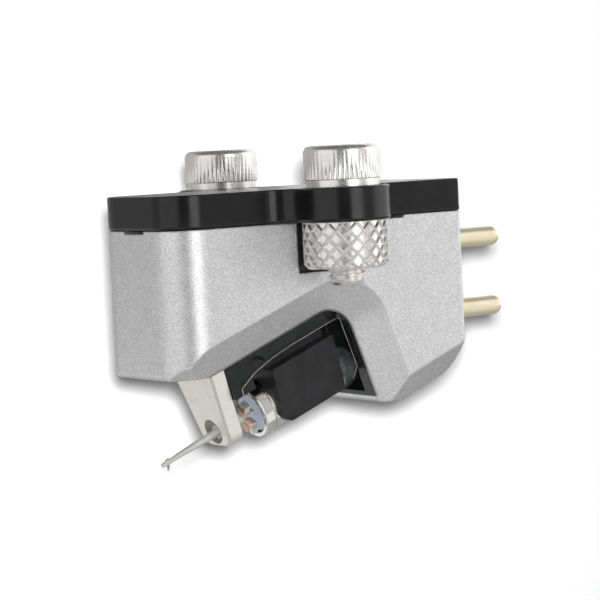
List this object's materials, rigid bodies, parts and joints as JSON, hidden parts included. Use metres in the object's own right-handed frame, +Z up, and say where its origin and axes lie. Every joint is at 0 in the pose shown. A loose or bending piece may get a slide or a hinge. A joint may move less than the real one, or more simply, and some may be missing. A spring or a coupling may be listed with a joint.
{
  "type": "turntable cartridge",
  "caption": "Moving-coil turntable cartridge: black mounting plate with thumb nuts, bevelled light metal housing, tilted open generator, cantilever with stylus, rear contact pins.",
  "frame": {"origin": "on the top face, halfway between the two mounting holes", "axes": "+Z up out of the top face, the stylus end at -Y, the contact pins at +Y, +X to the left of the cartridge"},
  "size_m": [0.0182, 0.0251, 0.0185],
  "materials": {
    "blasted_metal": "bead blasted",
    "black_gloss": "gloss",
    "bright_nickel": "polished",
    "satin_nickel": "satin",
    "black_plastic": "gloss",
    "gold": "gold plated",
    "dark_iron": "black coated",
    "brass": "satin",
    "steel": "satin",
    "damper_rubber": "matte",
    "copper": "lacquered",
    "light_metal": "bright",
    "diamond": "polished"
  },
  "bodies": {
    "body": {"housing": "blasted_metal", "top_plate": "black_gloss", "mounting_screws": "bright_nickel", "thumb_nuts": "bright_nickel", "generator_carrier": "black_plastic", "terminal_block": "black_plastic", "contact_pin_upper_left": "gold", "contact_pin_lower_left": "gold", "contact_pin_upper_right": "gold", "contact_pin_lower_right": "gold", "front_pole_plate": "satin_nickel", "yoke_bar": "dark_iron", "magnet": "dark_iron", "pole_tube": "bright_nickel", "rear_pole": "bright_nickel", "wire_bush": "brass", "tie_wire_screw": "brass", "tie_wire": "steel", "lead_upper_left": "steel", "lead_lower_left": "steel", "lead_upper_right": "steel", "lead_lower_right": "steel"},
    "damper": {"damper_ring": "damper_rubber"},
    "moving_system": {"armature": "satin_nickel", "coil_left_channel": "copper", "coil_right_channel": "copper", "cantilever_collar": "light_metal", "cantilever": "light_metal", "stylus": "diamond"}
  },
  "joints": [
    {"name": "lateral_swing", "type": "hinge", "parent": "body", "child": "damper", "pos_m": [0, -0.0027, -0.01315], "axis": [0, -0.3584, 0.9336], "range_deg": [-2.5, 2.5], "stiffness_Nm_per_rad": 0.003},
    {"name": "vertical_swing", "type": "hinge", "parent": "damper", "child": "moving_system", "pos_m": [0, -0.0027, -0.01315], "axis": [-1, 0, 0], "range_deg": [-1.5, 4], "stiffness_Nm_per_rad": 0.003}
  ]
}
